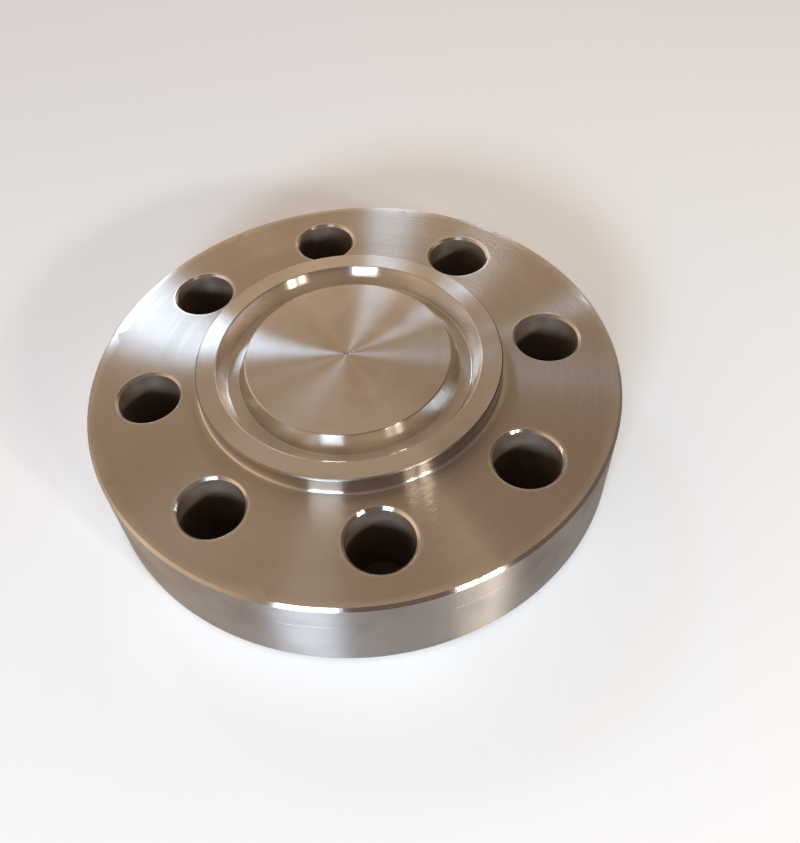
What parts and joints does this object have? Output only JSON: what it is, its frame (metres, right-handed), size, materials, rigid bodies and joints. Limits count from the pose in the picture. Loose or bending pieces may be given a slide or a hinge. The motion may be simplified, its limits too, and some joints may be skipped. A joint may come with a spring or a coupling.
{
  "type": "blind flange",
  "caption": "Heavy round steel blind flange with a raised boss, a ring-joint groove in its face and a circle of plain bolt holes.",
  "frame": {"origin": "centre of the flat back face", "axes": "+Z along the flange's axis, out of the gasket face; +X through the centre of one bolt hole"},
  "size_m": [0.216, 0.216, 0.046],
  "materials": {
    "turned_steel": "bare steel turned all over, fine circular tool marks, drilled holes with small bright chamfers"
  },
  "bodies": {
    "root": {"blind_flange": "turned_steel"}
  },
  "joints": []
}
